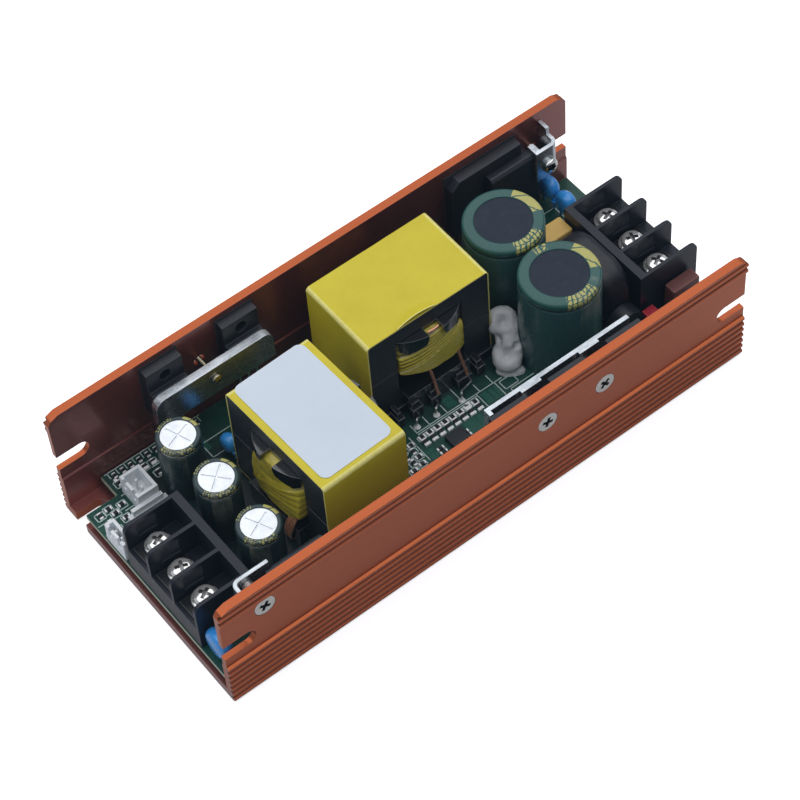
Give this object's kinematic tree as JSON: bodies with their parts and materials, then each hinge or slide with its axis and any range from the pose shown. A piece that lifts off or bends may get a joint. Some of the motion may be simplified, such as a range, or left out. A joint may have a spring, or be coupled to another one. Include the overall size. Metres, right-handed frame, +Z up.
{
  "type": "power supply",
  "caption": "Open-channel AC/DC power supply: ribbed anodised U extrusion holding a board with transformers, capacitors, barrier terminals and wall-clamped power devices.",
  "frame": {"origin": "centre of the underside of the channel floor, at the bottom of the bounding box", "axes": "+X along the channel towards the input terminal, +Y towards the far wall, +Z up out of the open channel"},
  "size_m": [0.157, 0.071, 0.0392],
  "materials": {
    "anodised": "orange-brown anodised, satin",
    "board": "green solder mask",
    "ferrite": "black ferrite",
    "bobbin": "black moulded",
    "winding": "taped winding",
    "tape": "yellow polyester tape",
    "label": "white film",
    "can": "bright drawn can",
    "dark_disc": "dark end disc",
    "sleeve": "dark green sleeve",
    "terminal": "black moulded",
    "bright_metal": "nickel plated",
    "steel": "zinc plated",
    "epoxy": "black moulded epoxy",
    "film": "tan dipped",
    "sleeving": "black heat-shrink",
    "disc": "blue dipped epoxy",
    "fuse": "brown case",
    "red": "red case",
    "silicone": "grey silicone",
    "connector": "white nylon",
    "sheet": "insulating film",
    "pad": "grey thermal pad",
    "brass": "turned"
  },
  "bodies": {
    "root": {"channel_housing": "anodised", "insulating_sheet": "sheet", "board_standoffs": "brass", "floor_screws": "steel", "circuit_board": "board", "output_transformer_core": "ferrite", "output_transformer_bobbin": "bobbin", "output_transformer_winding": "winding", "output_transformer_tape": "tape", "output_transformer_label": "label", "boost_inductor_core": "ferrite", "boost_inductor_bobbin": "bobbin", "boost_inductor_winding": "winding", "boost_inductor_tape": "tape", "bulk_capacitor_a": "dark_disc", "bulk_capacitor_b": "dark_disc", "bulk_sleeve_a": "sleeve", "bulk_sleeve_b": "sleeve", "output_capacitor_a": "can", "output_capacitor_b": "can", "output_capacitor_c": "can", "output_sleeve_a": "sleeve", "output_sleeve_b": "sleeve", "output_sleeve_c": "sleeve", "output_terminal_block": "terminal", "input_terminal_block": "terminal", "output_terminal_plates": "bright_metal", "input_terminal_plates": "bright_metal", "output_terminal_screws": "bright_metal", "input_terminal_screws": "bright_metal", "film_capacitor": "film", "filter_choke": "sleeving", "inrush_thermistor": "epoxy", "fuse": "fuse", "pulse_capacitor": "red", "input_disc_capacitors": "disc", "output_disc_capacitors": "disc", "silicone_dab": "silicone", "far_clamp_bar": "steel", "far_clamp_screw": "bright_metal", "rectifier_a": "epoxy", "rectifier_b": "epoxy", "near_clamp_bar": "steel", "near_clamp_screws": "bright_metal", "transistor_a": "epoxy", "transistor_b": "epoxy", "transistor_c": "epoxy", "output_clip": "steel", "output_clip_screw": "bright_metal", "output_rectifier": "epoxy", "bridge_rectifier": "epoxy", "boost_transistor": "epoxy", "input_clip": "steel", "input_clip_screw": "bright_metal", "connector_a": "connector", "connector_b": "connector", "thermal_pads": "pad", "control_chip": "epoxy"}
  },
  "joints": []
}
